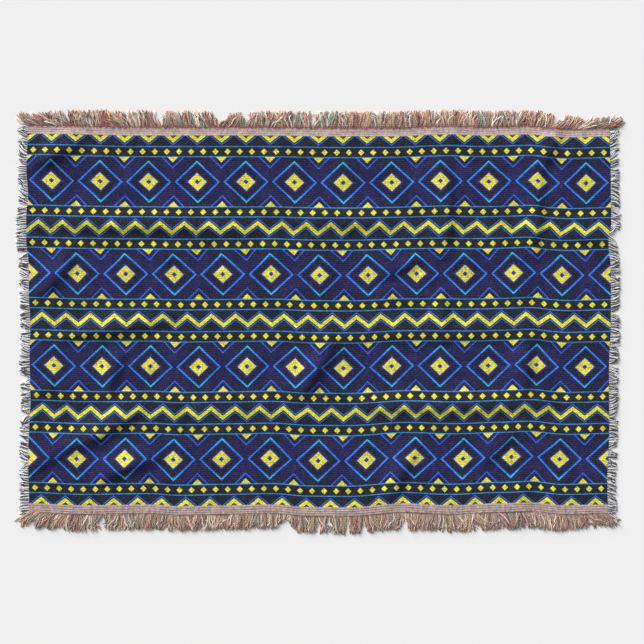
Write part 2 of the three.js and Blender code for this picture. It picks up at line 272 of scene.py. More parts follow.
class ThrowColours(bpy.types.PropertyGroup):
    """Colours of the pattern and of the yarns"""

    navy: colour_of(37, 36, 82, "Navy", "Ground of the pattern")
    black: colour_of(33, 36, 36, "Black", "Darkest cloth of the pattern")
    royal: colour_of(30, 47, 236, "Royal blue", "Deeper blue of the pattern")
    azure: colour_of(50, 160, 255, "Azure", "Lighter blue of the pattern")
    cyan: colour_of(54, 220, 252, "Cyan", "Brightest blue of the pattern")
    yellow: colour_of(248, 242, 40, "Yellow", "Small figures and zigzags of the pattern")
    heading: colour_of(194, 174, 168, "Heading", "Plain strips above and below the panel")
    reverse: colour_of(112, 104, 112, "Reverse", "Underside of the cloth")
    white_yarn: colour_of(242, 242, 246, "White yarn", "Pale yarns of the side fringe")
    black_yarn: colour_of(72, 72, 74, "Black yarn", "Dark yarns of the side fringe")


class ThrowStage(bpy.types.PropertyGroup):
    """Floor and light around the throw"""

    floor: colour_of(240, 240, 240, "Floor", "Plain pale floor")
    ambient: FloatProperty(
        name="Ambient light",
        description="Share of the light that comes from all round",
        default=0.4,
        min=0,
        max=1,
        subtype="FACTOR",
    )
    sun_height: FloatProperty(
        name="Light height",
        description="Height of the main light above the floor",
        default=math.radians(23),
        unit="ROTATION",
        subtype="ANGLE",
    )
    sun_from: FloatProperty(
        name="Light direction",
        description="Where the main light comes from, counted from the right edge",
        default=math.radians(128),
        unit="ROTATION",
        subtype="ANGLE",
    )
    sun_spread: FloatProperty(
        name="Light spread",
        description="How wide the main light looks from the floor",
        default=math.radians(38),
        unit="ROTATION",
        subtype="ANGLE",
    )


def smooth(share):
    """A share from 0 to 1, eased at both ends."""
    return share * share * (3 - 2 * share)


def mix(low, high, share):
    """What lies at a share of the way from low to high."""
    return low + (high - low) * share


def read_table(table, column, places):
    """The values in a table's column at places between its rows, eased from row to row."""
    at = np.array([row.at for row in table])
    values = np.array([getattr(row, column) for row in table])
    high = np.clip(np.searchsorted(at, places), 1, len(at) - 1)
    share = np.clip((places - at[high - 1]) / (at[high] - at[high - 1]), 0, 1)
    return mix(values[high - 1], values[high], smooth(share))


def fold_rise(fold, x, y):
    """How high one fold lifts the cloth at places on it."""
    along, across = fold.x1 - fold.x0, fold.y1 - fold.y0
    length = math.hypot(along, across)
    share = ((x - fold.x0) * along + (y - fold.y0) * across) / length**2
    wave = np.sin(math.pi * np.clip(share, 0, 1))
    side = ((y - fold.y0) * along - (x - fold.x0) * across) / length
    off = side - fold.bow * wave
    facing = along * SMOOTHED_FROM[1] - across * SMOOTHED_FROM[0]
    half = fold.half * np.where(off * facing < 0, FAR_SIDE, NEAR_SIDE)
    return fold.rise * np.maximum(wave, 0) ** FOLD_FULLNESS * np.exp(-((off / half) ** 2))


def lift(x, y):
    """The height of the cloth's underside above the floor, at places on the flat cloth."""
    heading = np.where(y > 0, TOP_HEADING, BOTTOM_HEADING)
    inside = np.minimum(PANEL_WIDTH / 2 - np.abs(x), PANEL_HEIGHT / 2 + heading - np.abs(y))
    edge = mix(EDGE_SHARE, 1, smooth(np.clip(inside / EDGE_FADE, 0, 1)))
    ridges = sum(fold_rise(fold, x, y) for fold in FOLDS) * edge
    return np.maximum(0, ridges - PRESSED_FLAT)


def unevenness(x, y):
    """The faint ripple of cloth that isn't pressed, from nothing upwards."""
    waves = sum(
        ripple.height
        * (1 + np.sin(math.tau * (ripple.along * x + ripple.across * y) + ripple.turn))
        for ripple in RIPPLES
    )
    return waves / 2


def lay(x, y):
    """Where places on the flat cloth come to lie, with the wandering of the edges."""
    across = np.clip(x / PANEL_WIDTH + 0.5, 0, 1)
    up = np.clip(y / PANEL_HEIGHT + 0.5, 0, 1)
    aside = mix(
        read_table(LEFT_EDGE, "shift", y), read_table(RIGHT_EDGE, "shift", y), across
    )
    upward = mix(
        read_table(BOTTOM_EDGE, "shift", x), read_table(TOP_EDGE, "shift", x), up
    )
    return x + aside, y + upward


def frame_shift():
    """How far the frame's origin lies from the middle of the flat panel."""
    low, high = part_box("panel")
    along = np.linspace(-0.5, 0.5, EDGE_PLACES)
    reach = []
    for edge in (-0.5, 0.5):
        reach.append(lay(along * PANEL_WIDTH, np.full_like(along, edge * PANEL_HEIGHT)))
        reach.append(lay(np.full_like(along, edge * PANEL_WIDTH), along * PANEL_HEIGHT))
    x, y = (np.concatenate(parts) for parts in zip(*reach))
    return (low.x + high.x - x.min() - x.max()) / 2, (low.y + high.y - y.min() - y.max()) / 2


SHIFT_X, SHIFT_Y = frame_shift()


def on_floor(x, y):
    """Places on the flat cloth in the frame's own coordinates."""
    laid_x, laid_y = lay(x, y)
    return laid_x + SHIFT_X, laid_y + SHIFT_Y


class Field:
    """A number that varies over a surface. Its arithmetic adds Math nodes to its tree."""

    def __init__(self, tree, socket):
        self.tree = tree
        self.socket = socket

    def math(self, operation, *values):
        """What a Math node makes of fields and numbers."""
        node = self.tree.nodes.new("ShaderNodeMath")
        node.operation = operation
        for place, value in zip(node.inputs, values):
            if isinstance(value, Field):
                self.tree.links.new(value.socket, place)
            else:
                place.default_value = value
        return Field(self.tree, node.outputs[0])

    def __add__(self, other):
        return self.math("ADD", self, other)

    def __sub__(self, other):
        return self.math("SUBTRACT", self, other)

    def __rsub__(self, other):
        return self.math("SUBTRACT", other, self)

    def __mul__(self, other):
        return self.math("MULTIPLY", self, other)

    def __truediv__(self, other):
        return self.math("DIVIDE", self, other)

    def absolute(self):
        return self.math("ABSOLUTE", self)

    def sine(self):
        return self.math("SINE", self)

    def floor(self):
        return self.math("FLOOR", self)

    def remainder(self, step):
        return self.math("FLOORED_MODULO", self, step)

    def away(self, pitch):
        """The distance from the nearest multiple of a pitch."""
        return self.math("PINGPONG", self, pitch / 2)

    def rise(self, low, high, start=0.0, end=1.0):
        """From start to end as the number goes from low to high, eased at both."""
        node = self.tree.nodes.new("ShaderNodeMapRange")
        node.interpolation_type = "SMOOTHSTEP"
        self.tree.links.new(self.socket, node.inputs["Value"])
        ends = {"From Min": low, "From Max": high, "To Min": start, "To Max": end}
        for name, value in ends.items():
            node.inputs[name].default_value = value
        return Field(self.tree, node.outputs["Result"])

    def under(self, limit, soft):
        """1 under a limit and 0 over it, with a soft edge."""
        return self.rise(limit - soft, limit + soft, 1.0, 0.0)

    def within(self, low, high, soft):
        """1 between two limits, with soft edges."""
        return self.under(high, soft) * self.rise(low - soft, low + soft)


class Paint:
    """A material whose colour is built up in layers on the flat cloth's own coordinates."""

    def __init__(self, name, colour, roughness, gloss, sheen):
        self.material = bpy.data.materials.new(name)
        self.material.use_nodes = True
        self.tree = self.material.node_tree
        self.shader = self.tree.nodes["Principled BSDF"]
        self.shader.inputs["Roughness"].default_value = roughness
        self.shader.inputs["Specular IOR Level"].default_value = gloss
        self.shader.inputs["Sheen Weight"].default_value = sheen
        self.shader.inputs["Sheen Roughness"].default_value = 0.6
        self.colour = (*colour, 1.0)

    def place(self, uv_map):
        """The two coordinates of a UV map."""
        source = self.tree.nodes.new("ShaderNodeUVMap")
        source.uv_map = uv_map
        parts = self.tree.nodes.new("ShaderNodeSeparateXYZ")
        self.tree.links.new(source.outputs["UV"], parts.inputs["Vector"])
        return Field(self.tree, parts.outputs["X"]), Field(self.tree, parts.outputs["Y"])

    def joined(self, x, y):
        """A place for a texture from two coordinates."""
        node = self.tree.nodes.new("ShaderNodeCombineXYZ")
        self.tree.links.new(x.socket, node.inputs["X"])
        self.tree.links.new(y.socket, node.inputs["Y"])
        return node.outputs["Vector"]

    def noise(self, x, y, width, height, detail=2.0):
        """Smooth noise on two coordinates, from 0 to 1, in cells of a width and a height."""
        source = self.tree.nodes.new("ShaderNodeTexNoise")
        source.noise_dimensions = "2D"
        source.inputs["Scale"].default_value = 1.0
        source.inputs["Detail"].default_value = detail
        place = self.joined(x * (1 / width), y * (1 / height))
        self.tree.links.new(place, source.inputs["Vector"])
        return Field(self.tree, source.outputs["Fac"])

    def speckle(self, x, y, width, height):
        """A number of its own for each cell of a grid, from 0 to 1."""
        source = self.tree.nodes.new("ShaderNodeTexWhiteNoise")
        source.noise_dimensions = "2D"
        place = self.joined((x / width).floor(), (y / height).floor())
        self.tree.links.new(place, source.inputs["Vector"])
        return Field(self.tree, source.outputs["Value"])

    def attribute(self, name):
        """The colour that the mesh carries under a name."""
        source = self.tree.nodes.new("ShaderNodeAttribute")
        source.attribute_name = name
        return source.outputs["Color"]

    def _mixed(self, blend, factor, first, second):
        """What a Mix node makes of two colours."""
        node = self.tree.nodes.new("ShaderNodeMix")
        node.data_type = "RGBA"
        node.blend_type = blend
        places = (node.inputs[0], node.inputs[6], node.inputs[7])
        for place, value in zip(places, (factor, first, second)):
            if isinstance(value, Field):
                self.tree.links.new(value.socket, place)
            elif isinstance(value, bpy.types.NodeSocket):
                self.tree.links.new(value, place)
            else:
                place.default_value = value if place.type == "VALUE" else (*value, 1.0)[:4]
        return node.outputs[2]

    def between(self, factor, first, second):
        """A colour between two others."""
        return self._mixed("MIX", factor, first, second)

    def layer(self, factor, colour):
        """Lays a colour over what is there, as thick as the factor says."""
        self.colour = self._mixed("MIX", factor, self.colour, colour)

    def shade(self, brightness):
        """Makes what is there brighter or darker by a field round 1."""
        joined = self.tree.nodes.new("ShaderNodeCombineColor")
        for place in joined.inputs:
            self.tree.links.new(brightness.socket, place)
        self.colour = self._mixed("MULTIPLY", 1.0, self.colour, joined.outputs["Color"])

    def relief(self, height, distance):
        """Raises the surface by a field from 0 to 1 times a distance."""
        bump = self.tree.nodes.new("ShaderNodeBump")
        bump.inputs["Strength"].default_value = 1.0
        bump.inputs["Distance"].default_value = distance
        self.tree.links.new(height.socket, bump.inputs["Height"])
        self.tree.links.new(bump.outputs["Normal"], self.shader.inputs["Normal"])

    def done(self):
        """The finished material."""
        self.tree.links.new(self.colour, self.shader.inputs["Base Color"])
        return self.material


# The bands of the panel: rows of lozenges between bands of studs and zigzags.
REPEATS_UP = 4
LOZENGES_ACROSS = 12
BAND_REPEAT = PANEL_HEIGHT / REPEATS_UP
LOZENGE_PITCH = PANEL_WIDTH / LOZENGES_ACROSS
LOZENGE_HALF_WIDTH = 0.48 * LOZENGE_PITCH
LOZENGE_HALF_HEIGHT = 50 * MM
WEDGE_HALF_WIDTH = 27 * MM
WEDGE_HEIGHT = 27 * MM
RULE_PLACES = (57 * MM, 80 * MM)
RULE_HALF = 0.9 * MM
STUD_ROW = 68.5 * MM
STUD_PITCH = LOZENGE_PITCH / 4
STUD_HALF = 7 * MM
ZIGZAG_PITCH = LOZENGE_PITCH / 2
ZIGZAG_HEIGHT = 11 * MM
ZIGZAG_HALF = 4.9 * MM
BESIDE_ZIGZAG = ZIGZAG_HALF + 4.4 * MM
BESIDE_HALF = 0.6 * MM
UNDERLAY_HALF = 1.3 * MM
UNDERLAY_EDGE = 1.1 * MM
DARKER_FROM = 24 * MM
PRINT_EDGE = 0.9 * MM

# Yarn colours that show here and there in the weave, and the painted highlight for the crests of the
# panel's ribs.
PALE_STRAY = tint(104, 86, 152)
DARK_STRAY = tint(28, 34, 12)
RIB_HIGHLIGHT = tint(104, 100, 150)
HEADING_PINK = tint(212, 168, 156)
HEADING_GREY = tint(168, 168, 166)
HEADING_STRAW = tint(206, 186, 146)
HEADING_MAUVE = tint(188, 158, 176)
HEADING_BRICK = tint(140, 96, 92)
HEADING_GROOVE = tint(98, 70, 76)

# The size of the cells in which the ribs wander, and how far apart a finish takes its noises so
# that they don't repeat each other, all in metres.
WANDER_CELL = (1 / 9, 1 / 30)
STRAYS_ASIDE = 1.7
LIGHTS_ASIDE = 3.7
GRAIN_ASIDE = 5.3
PATCHES_ASIDE = 9.1


def weave(paint, u, v, sizes):
    """Two fields from 0 to 1: the ribs that run across the cloth, and the threads on them."""
    wander = paint.noise(u, v, *WANDER_CELL) * (0.9 * sizes.rib)
    rib = ((v + wander) * (math.pi / sizes.rib)).sine().absolute()
    row = (v / sizes.pick).floor()
    over = ((u / sizes.pick + row) * (math.pi / 2)).sine().absolute()
    under = (v * (math.pi / sizes.pick)).sine().absolute()
    return rib, over * under


def lozenges(paint, u, v, across, colours):
    """A row of lozenges, each in rings, with wedges in the gaps of the row.

    Rings are shares of the way from a lozenge's middle to its rim. Every other row is set
    over by half a lozenge.
    """
    odd = (v / BAND_REPEAT).floor().remainder(2.0)
    aside = (u + odd * (LOZENGE_PITCH / 2)).away(LOZENGE_PITCH)
    ring = aside / LOZENGE_HALF_WIDTH + across / LOZENGE_HALF_HEIGHT
    inside = ring.under(0.96, 0.02)
    rim = paint.between(aside.rise(0, 0.5 * LOZENGE_HALF_WIDTH), colours.cyan, colours.azure)
    paint.layer(ring.rise(1.04, 0.9), colours.black)
    paint.layer(ring.rise(0.77, 0.93) * inside, colours.royal)
    paint.layer(ring.rise(0.84, 0.94) * inside, rim)
    paint.layer(ring.within(0.42, 0.48, 0.05), colours.royal)
    paint.layer(ring.under(0.4, 0.02), colours.yellow)
    paint.layer(ring.under(0.12, 0.02), colours.royal)
    gap = (LOZENGE_PITCH / 2 - aside) / WEDGE_HALF_WIDTH
    wedge = gap + (RULE_PLACES[0] - RULE_HALF - across) / WEDGE_HEIGHT
    inside = wedge.under(0.94, 0.04)
    paint.layer(wedge.rise(1.04, 0.9), colours.black)
    paint.layer(wedge.rise(0.68, 0.88) * inside, colours.royal)
    paint.layer(wedge.rise(0.84, 0.94) * inside, colours.azure)
    paint.layer(wedge.under(0.44, 0.03), colours.yellow)


def rules_and_studs(paint, u, across, colours):
    """Two thin rules with a row of small lozenges between them."""
    paint.layer(across.rise(RULE_PLACES[0] - PRINT_EDGE, RULE_PLACES[0]), colours.black)
    for place in RULE_PLACES:
        rule = (across - place).absolute()
        paint.layer(rule.under(RULE_HALF, PRINT_EDGE), colours.azure)
    stud = (u + STUD_PITCH / 2).away(STUD_PITCH) + (across - STUD_ROW).absolute()
    paint.layer(stud.under(STUD_HALF, PRINT_EDGE), colours.yellow)


def zigzags(paint, u, v, across, colours):
    """A yellow zigzag between two thin blue ones."""
    band = across.rise(RULE_PLACES[1] + RULE_HALF, RULE_PLACES[1] + 3 * RULE_HALF)
    level = (v + BAND_REPEAT / 2).remainder(BAND_REPEAT) - BAND_REPEAT / 2
    peak = u.away(ZIGZAG_PITCH) * (4 * ZIGZAG_HEIGHT / ZIGZAG_PITCH) - ZIGZAG_HEIGHT
    off = (level - peak).absolute()
    beside = (off - BESIDE_ZIGZAG).absolute()
    paint.layer(beside.under(UNDERLAY_HALF, UNDERLAY_EDGE) * band, colours.royal)
    paint.layer(beside.under(BESIDE_HALF, PRINT_EDGE) * band, colours.azure)
    paint.layer(off.under(ZIGZAG_HALF, PRINT_EDGE) * band, colours.yellow)


def panel_finish(sizes, colours):
    """The banded pattern, woven in ribs across the cloth."""
    paint = Paint("banded_weave", colours.navy, roughness=0.8, gloss=0.08, sheen=0.02)
    u, v = paint.place("cloth")
    rib, thread = weave(paint, u, v, sizes)
    across = (v + BAND_REPEAT / 2).away(BAND_REPEAT)
    paint.layer(across.rise(DARKER_FROM, RULE_PLACES[0]) * 0.7, colours.black)
    lozenges(paint, u, v, across, colours)
    rules_and_studs(paint, u, across, colours)
    zigzags(paint, u, v, across, colours)
    strays = paint.speckle(u + STRAYS_ASIDE, v, sizes.pick, sizes.pick)
    paint.layer(strays.rise(0.6, 1.0) * 0.21, PALE_STRAY)
    paint.layer(strays.rise(0.4, 0.0) * 0.5, DARK_STRAY)
    # Painted highlight: a pale blue laid thinly on the crests of the ribs.
    paint.layer(rib.rise(0.3, 1.0) * 0.07, RIB_HIGHLIGHT)
    fleck = paint.speckle(u, v, sizes.pick, sizes.pick)
    cloud = paint.noise(u, v, 50 * MM, 50 * MM)
    # Painted shade: the ribs and the threads make the colour darker in their grooves. The flecks and
    # the cloud are random tone.
    tone = rib * 0.2 + thread * 0.12 + fleck.rise(0.0, 1.0, -0.18, 0.18)
    paint.shade(tone + cloud.rise(0.25, 0.75, 0.64, 0.86))
    paint.relief(rib * 0.6 + thread * 0.4, 0.4 * MM)
    return paint.done()


def reverse_finish(name, ground, sizes, colours):
    """The plain underside: all the yarns mixed, ribbed as the face is."""
    paint = Paint(name, ground, roughness=0.8, gloss=0.3, sheen=0.05)
    u, v = paint.place("cloth")
    rib, thread = weave(paint, u, v, sizes)
    yarns = paint.speckle(u, v, sizes.pick, sizes.rib)
    paint.layer(yarns.rise(0.5, 0.9) * 0.7, colours.navy)
    paint.layer(yarns.rise(0.3, 0.0) * 0.6, colours.heading)
    # Painted shade: darker in the grooves between the ribs and between the threads.
    paint.shade(rib * 0.4 + thread * 0.15 + 0.6)
    paint.relief(rib * 0.7 + thread * 0.3, 0.8 * MM)
    return paint.done()


# A heading's ends on the flat cloth, how light it is next to the panel and next to the fringe,
# and the dark line along its outer edge, partly darker yarn and partly painted shade where the
# fringe leaves it, with how strongly that shows.
Heading = namedtuple("Heading", "name node low high tones edge_line edge_share")
HEADINGS = (
    Heading(
        name="top_heading",
        node="top_heading_fringe",
        low=PANEL_HEIGHT / 2,
        high=PANEL_HEIGHT / 2 + TOP_HEADING,
        tones=(1.19, 1.0),
        edge_line=tint(118, 62, 60),
        edge_share=0.9,
    ),
    Heading(
        name="bottom_heading",
        node="bottom_heading_fringe",
        low=-PANEL_HEIGHT / 2 - BOTTOM_HEADING,
        high=-PANEL_HEIGHT / 2,
        tones=(0.96, 0.91),
        edge_line=tint(128, 98, 92),
        edge_share=0.65,
    ),
)
HEADING_RIBS = 4
# How far inside the outer edge the dark line, partly darker yarn and partly painted shade,
# starts, where all of it shows, and how far it wanders.
LINE_START = 3.4 * MM
LINE_FULL = 1.2 * MM
LINE_WANDER = 1.2 * MM


def heading_finish(heading, sizes, colours):
    """The plain strip: mixed warp yarns that show between ribs of pale weft."""
    name = heading.name + "_weave"
    paint = Paint(name, colours.heading, roughness=0.85, gloss=0.3, sheen=0.1)
    u, v = paint.place("cloth")
    width = heading.high - heading.low
    out = v.absolute() - PANEL_HEIGHT / 2
    hue = paint.noise(u, v, 16 * MM, 60 * MM, detail=3.0)
    lights = paint.noise(u + LIGHTS_ASIDE, v, 12 * MM, 60 * MM, detail=3.0)
    yarns = paint.speckle(u, out, sizes.pick / 2, sizes.rib)
    grain = paint.speckle(u + GRAIN_ASIDE, out, sizes.pick, sizes.pick)
    paint.layer(hue.rise(0.52, 0.66) * 0.5, HEADING_PINK)
    paint.layer(hue.rise(0.48, 0.34) * 0.7, HEADING_GREY)
    paint.layer(lights.rise(0.54, 0.7) * 0.5, HEADING_STRAW)
    paint.layer(lights.rise(0.46, 0.32) * 0.5, HEADING_MAUVE)
    paint.layer(yarns.rise(0.7, 1.0) * 0.35, HEADING_BRICK)
    rib = (out * (math.pi / (width / HEADING_RIBS))).sine().absolute()
    groove = rib.rise(0.75, 0.1)
    strength = paint.noise(u, out, 45 * MM, 5 * MM).rise(0.35, 0.65, 0.35, 1.0)
    paint.layer(groove * strength * 0.9, HEADING_GROOVE)
    # The dark line along the outer edge: partly darker yarn, partly painted shade where the fringe
    # leaves the cloth.
    ragged = paint.noise(u, v, 7 * MM, 40 * MM, detail=3.0)
    edge = out + ragged.rise(0.3, 0.7, -LINE_WANDER, LINE_WANDER)
    edge_line = edge.rise(width - LINE_START, width - LINE_FULL) * heading.edge_share
    paint.layer(edge_line, heading.edge_line)
    patches = paint.noise(u + PATCHES_ASIDE, v, 6 * MM, 12 * MM, detail=3.0)
    inner, outer = heading.tones
    tone = out.rise(0.25 * width, 0.7 * width, inner, outer) + patches.rise(0.3, 0.7, -0.17, 0.17)
    tone = tone + grain.rise(0.0, 1.0, -0.12, 0.12)
    paint.shade(tone + yarns.rise(0.0, 1.0, -0.17, 0.17))
    thread = (u * (math.pi / (sizes.pick / 2))).sine().absolute()
    paint.relief(rib * 0.75 + thread * 0.25, 0.7 * MM)
    return paint.done()


# The length over which the plies of a yarn repeat.
YARN_TWIST = 4 * MM


def yarn_finish(name):
    """Plied cotton yarn in the colour that each yarn carries, with painted shade where its plies
    meet.
    """
    paint = Paint(name, (0.5, 0.5, 0.5), roughness=0.8, gloss=0.35, sheen=0.15)
    paint.colour = paint.attribute("yarn_tint")
    around, along = paint.place("yarn")
    ply = ((around * 2 + along / YARN_TWIST) * math.pi).sine().absolute()
    # Painted shade: each yarn is darker where its plies meet.
    paint.shade(ply * 0.4 + 0.72)
    paint.relief(ply, 0.5 * MM)
    return paint.done()


def write_map(mesh, name, places):
    """Gives a mesh a UV map from one place for each corner of its faces."""
    layer = mesh.uv_layers.get(name) or mesh.uv_layers.new(name=name)
    layer.uv.foreach_set("vector", places.astype(np.float32).ravel())


def corner_points(mesh):
    """The point that each corner of a mesh's faces stands on."""
    found = np.empty(len(mesh.loops), np.int32)
    mesh.loops.foreach_get("vertex_index", found)
    return found


def laid_sheet(name, columns, rows, left, right, low, high, thickness, finishes):
    """A stretch of the cloth, from a grid that is shaped on the folds and made solid.

    Its face wears the first finish, and its underside and its cut edges the second.
    """
    bpy.ops.object.select_all(action="DESELECT")
    bpy.ops.mesh.primitive_grid_add(x_subdivisions=columns, y_subdivisions=rows, size=1)
    sheet = bpy.context.active_object
    sheet.name = name
    mesh = sheet.data
    mesh.name = name
    places = np.empty(len(mesh.vertices) * 3)
    mesh.vertices.foreach_get("co", places)
    share_x, share_y = places.reshape(-1, 3)[:, :2].T + 0.5
    x, y = mix(left, right, share_x), mix(low, high, share_y)
    height = lift(x, y) + unevenness(x, y) + thickness
    mesh.vertices.foreach_set("co", np.stack((*on_floor(x, y), height), 1).ravel())
    corners = corner_points(mesh)
    mesh.uv_layers[0].name = "cloth"
    write_map(mesh, "cloth", np.stack((x, y), 1)[corners])
    for finish in finishes:
        mesh.materials.append(finish)
    solid = sheet.modifiers.new("thickness", "SOLIDIFY")
    solid.thickness = thickness
    solid.offset = -1
    solid.material_offset = 1
    solid.material_offset_rim = 1
    bpy.ops.object.modifier_apply(modifier=solid.name)
    bpy.ops.object.shade_smooth_by_angle(angle=CREASE)
    bake_places(mesh, (left, low), (right, high), len(x))
    return sheet


# On a sheet's second map: the room for the face and for the underside, and where the
# underside and the strips of the cut edges begin, with the steps between those.
FACE_ROOM = (0.99, 0.8)
BACK_ROOM = (0.99, 0.14)
BACK_START = 0.85
RIM_START = 0.81
RIM_STEP = 0.008
RIM_WIDTH = 0.004


def bake_places(mesh, low, high, face_points):
    """A second map that lays the face, the underside and the four cut edges apart.

    The underside lies on its side, so that its ribs have room where they repeat.
    """
    corners = corner_points(mesh)
    flat = np.empty(len(mesh.loops) * 2, np.float32)
    mesh.uv_layers["cloth"].uv.foreach_get("vector", flat)
    share = (flat.reshape(-1, 2) - low) / (np.array(high) - low)
    sides = np.empty(len(mesh.polygons), np.int32)
    mesh.polygons.foreach_get("loop_total", sides)
    first = np.cumsum(sides) - sides
    on_face = corners < face_points
    on_both = np.add.reduceat(on_face.astype(int), first) / sides
    on_both = np.repeat((on_both > 0) & (on_both < 1), sides)
    middle = np.add.reduceat(share, first) / sides[:, None]
    gaps = np.stack((middle[:, 0], 1 - middle[:, 0], middle[:, 1], 1 - middle[:, 1]), 1)
    edge = np.repeat(gaps.argmin(1), sides)
    along = np.where(edge < 2, share[:, 1], share[:, 0])
    rim_up = RIM_START + RIM_STEP * edge + RIM_WIDTH * on_face
    rim = np.stack((along * FACE_ROOM[0], rim_up), 1)
    face = share * FACE_ROOM
    back = share[:, ::-1] * BACK_ROOM + (0, BACK_START)
    places = np.where(on_face[:, None], face, back)
    write_map(mesh, "OFBake", np.where(on_both[:, None], rim, places))


YARN_SIDES = 5
# On a fringe's second map each yarn has a cell of its own. It is this many times as long as wide, and
# the yarn fills this much of it round and along.
CELL_SLIMNESS = 9
CELL_FILL = (0.76, 0.94)


def tube_points(lines, radii):
    """The points of a tube round each line: a ring of them at each of its steps."""
    run = np.gradient(lines, axis=1)
    run /= np.linalg.norm(run, axis=2, keepdims=True)
    across = np.cross(run, (0.0, 0.0, 1.0))
    across /= np.maximum(np.linalg.norm(across, axis=2, keepdims=True), 1e-9)
    upward = np.cross(across, run)
    turns = (np.arange(YARN_SIDES) * math.tau / YARN_SIDES)[:, None]
    ring = across[:, :, None] * np.cos(turns) + upward[:, :, None] * np.sin(turns)
    return lines[:, :, None] + ring * radii[:, :, None, None]


def tube_faces(steps):
    """The faces of one tube: its walls and its two ends.

    It gives the point, the share round and the step at each of their corners, and how many
    corners each face has.
    """
    sides = YARN_SIDES
    step, side = np.meshgrid(np.arange(steps - 1), np.arange(sides), indexing="ij")
    start, after = step * sides, (side + 1) % sides
    walls = np.stack((start + side, start + sides + side, start + sides + after, start + after), -1)
    first, last = np.arange(sides), np.arange(sides)[::-1]
    points = np.concatenate((walls.ravel(), first, (steps - 1) * sides + last))
    wall_side = np.stack((side, side, side + 1, side + 1), -1).ravel()
    round_share = np.concatenate((wall_side, first, last)) / sides
    wall_step = np.stack((step, step + 1, step + 1, step), -1).ravel()
    at_step = np.concatenate((wall_step, np.repeat((0, steps - 1), sides)))
    corner_counts = np.append(np.full((steps - 1) * sides, 4), (sides, sides))
    return points, round_share, at_step, corner_counts


def yarn_cells(count, round_share, along_share):
    """Places on the second map: rows of cells, with the corners of one yarn in each."""
    rows = math.ceil(math.sqrt(count / CELL_SLIMNESS))
    columns = math.ceil(count / rows)
    row, column = np.divmod(np.arange(count), columns)
    cell = np.stack((column, row), 1)[:, None]
    inner = 0.5 + (np.stack((round_share, along_share), 1) - 0.5) * CELL_FILL
    return ((cell + inner) / (columns, rows)).reshape(-1, 2)


def yarn_piece(name, lines, radii, tints, finish):
    """One mesh of many yarns, each a tube along its own line of points.

    lines holds a point for each yarn and step, radii a number and tints a colour.
    """
    count, steps = radii.shape
    points, round_share, at_step, corner_counts = tube_faces(steps)
    corners = points + np.arange(count)[:, None] * steps * YARN_SIDES
    corner_counts = np.tile(corner_counts, count)
    starts = np.cumsum(corner_counts) - corner_counts
    mesh = bpy.data.meshes.new(name)
    mesh.vertices.add(count * steps * YARN_SIDES)
    mesh.vertices.foreach_set("co", tube_points(lines, radii).astype(np.float32).ravel())
    mesh.loops.add(corners.size)
    mesh.loops.foreach_set("vertex_index", corners.astype(np.int32).ravel())
    mesh.polygons.add(len(starts))
    mesh.polygons.foreach_set("loop_start", starts.astype(np.int32))
    mesh.update(calc_edges=True)
    mesh.validate()
    shown = np.ones((count, steps, YARN_SIDES, 4), np.float32)
    shown[..., :3] = tints[:, :, None]
    tint_layer = mesh.color_attributes.new("yarn_tint", "FLOAT_COLOR", "POINT")
    tint_layer.data.foreach_set("color", shown.ravel())
    gone = np.zeros((count, steps))
    gone[:, 1:] = np.cumsum(np.linalg.norm(np.diff(lines, axis=1), axis=2), axis=1)
    along = gone[:, at_step].ravel()
    write_map(mesh, "yarn", np.stack((np.tile(round_share, count), along), 1))
    write_map(mesh, "OFBake", yarn_cells(count, round_share, at_step / (steps - 1)))
    mesh.materials.append(finish)
    mesh.shade_smooth()
    piece = bpy.data.objects.new(name, mesh)
    bpy.context.scene.collection.objects.link(piece)
    return piece


Yarn = namedtuple("Yarn", "name red green blue share")
WARP_YARNS = (
    Yarn("tan", 182, 152, 130, 0.18),
    Yarn("brick", 160, 94, 86, 0.12),
    Yarn("salmon", 220, 172, 156, 0.14),
    Yarn("orange", 208, 152, 114, 0.05),
    Yarn("sea grey", 140, 152, 144, 0.13),
    Yarn("cream", 242, 230, 214, 0.13),
    Yarn("straw", 196, 176, 128, 0.05),
    Yarn("olive", 154, 144, 112, 0.05),
    Yarn("mauve", 156, 124, 130, 0.1),
    Yarn("dark", 96, 82, 80, 0.1),
)

# A fringe leaves the cloth at edge and runs to its side, which is 1 for up or right and -1 for
# down or left. Each yarn is as long as a share of length that lies between the two in reach.
Fringe = namedtuple("Fringe", "name node seed on_long_edge side edge length reach lay notches")
WARP_FRINGES = (
    Fringe(
        name="top_warp_fringe",
        node="top_heading_fringe",
        seed=11,
        on_long_edge=True,
        side=1,
        edge=PANEL_HEIGHT / 2 + TOP_HEADING,
        length=TOP_FRINGE,
        reach=(0.87, 1.05),
        lay=TOP_LAY,
        notches=TOP_NOTCHES,
    ),
    Fringe(
        name="bottom_warp_fringe",
        node="bottom_heading_fringe",
        seed=12,
        on_long_edge=True,
        side=-1,
        edge=-PANEL_HEIGHT / 2 - BOTTOM_HEADING,
        length=BOTTOM_FRINGE,
        reach=(0.8, 1.02),
        lay=BOTTOM_LAY,
        notches=BOTTOM_NOTCHES,
    ),
)
WEFT_FRINGES = (
    Fringe(
        name="left_weft_fringe",
        node="left_selvedge_fringe",
        seed=21,
        on_long_edge=False,
        side=-1,
        edge=-PANEL_WIDTH / 2,
        length=SELVEDGE + SIDE_FRINGE,
        reach=(0.8, 0.97),
        lay=SIDE_LAY,
        notches=(),
    ),
    Fringe(
        name="right_weft_fringe",
        node="right_selvedge_fringe",
        seed=22,
        on_long_edge=False,
        side=1,
        edge=PANEL_WIDTH / 2,
        length=SELVEDGE + SIDE_FRINGE,
        reach=(0.77, 0.94),
        lay=SIDE_LAY,
        notches=(),
    ),
)

